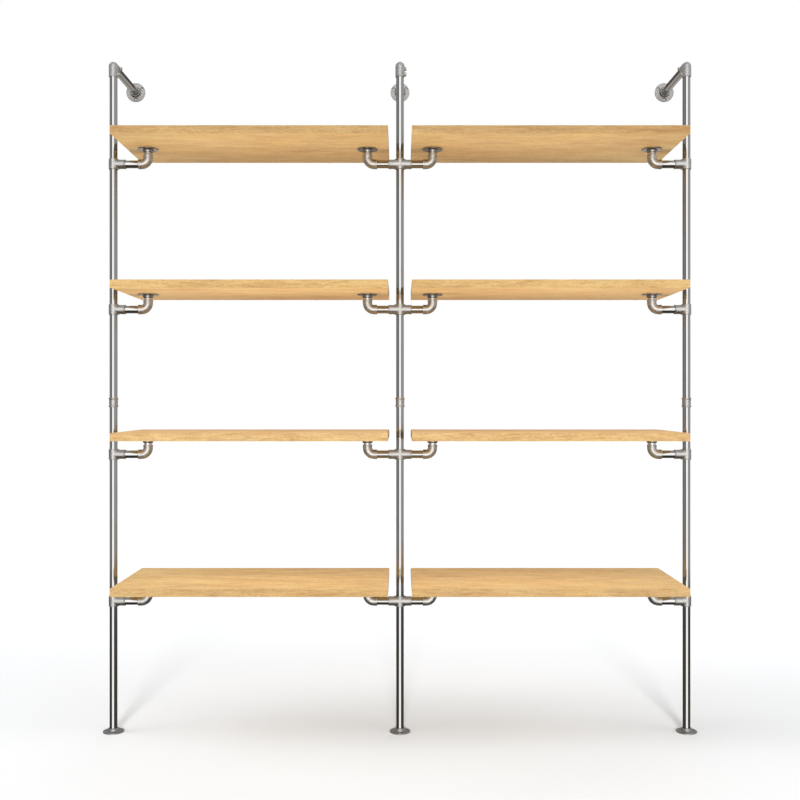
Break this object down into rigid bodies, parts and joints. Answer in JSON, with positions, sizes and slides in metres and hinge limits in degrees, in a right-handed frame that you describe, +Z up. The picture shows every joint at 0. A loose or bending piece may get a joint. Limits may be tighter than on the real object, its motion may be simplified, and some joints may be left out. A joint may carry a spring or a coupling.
{
  "type": "pipe shelving unit",
  "caption": "Wall-tied shelving unit with tube uprights on floor flanges, tee and elbow arms, and oak boards in bays side by side.",
  "frame": {"origin": "on the floor, on the axis of the middle upright, in the plane of the three uprights", "axes": "+X to the right along the shelves, +Y back towards the wall, +Z up"},
  "size_m": [2.0714, 0.525, 2.3569],
  "materials": {
    "tube_steel": "satin drawn steel tube",
    "fitting_cast": "galvanised malleable casting, matt grey",
    "flange_cast": "galvanised malleable casting, matt grey, slightly mottled",
    "oak": "light oak, oiled, grain along the board",
    "screw_steel": "bright zinc-plated screws"
  },
  "bodies": {
    "root": {"base_flange_left": "flange_cast", "base_flange_center": "flange_cast", "base_flange_right": "flange_cast", "lower_pipe_left": "tube_steel", "lower_pipe_center": "tube_steel", "lower_pipe_right": "tube_steel", "coupler_left": "fitting_cast", "coupler_center": "fitting_cast", "coupler_right": "fitting_cast", "upper_pipe_left": "tube_steel", "upper_pipe_center": "tube_steel", "upper_pipe_right": "tube_steel", "top_elbow_left": "fitting_cast", "top_elbow_center": "fitting_cast", "top_elbow_right": "fitting_cast", "wall_pipe_left": "tube_steel", "wall_pipe_center": "tube_steel", "wall_pipe_right": "tube_steel", "wall_flange_left": "flange_cast", "wall_flange_center": "flange_cast", "wall_flange_right": "flange_cast", "shelf_1_left": "oak", "shelf_1_right": "oak", "tee_1_left": "fitting_cast", "tee_1_right": "fitting_cast", "cross_1_center": "fitting_cast", "arm_pipes_1": "tube_steel", "arm_elbows_1": "fitting_cast", "arm_risers_1": "tube_steel", "shelf_flanges_1": "flange_cast", "shelf_2_left": "oak", "shelf_2_right": "oak", "tee_2_left": "fitting_cast", "tee_2_right": "fitting_cast", "cross_2_center": "fitting_cast", "arm_pipes_2": "tube_steel", "arm_elbows_2": "fitting_cast", "arm_risers_2": "tube_steel", "shelf_flanges_2": "flange_cast", "shelf_3_left": "oak", "shelf_3_right": "oak", "tee_3_left": "fitting_cast", "tee_3_right": "fitting_cast", "cross_3_center": "fitting_cast", "arm_pipes_3": "tube_steel", "arm_elbows_3": "fitting_cast", "arm_risers_3": "tube_steel", "shelf_flanges_3": "flange_cast", "shelf_4_left": "oak", "shelf_4_right": "oak", "tee_4_left": "fitting_cast", "tee_4_right": "fitting_cast", "cross_4_center": "fitting_cast", "arm_pipes_4": "tube_steel", "arm_elbows_4": "fitting_cast", "arm_risers_4": "tube_steel", "shelf_flanges_4": "flange_cast", "set_screws": "screw_steel", "shelf_screws": "screw_steel"}
  },
  "joints": []
}
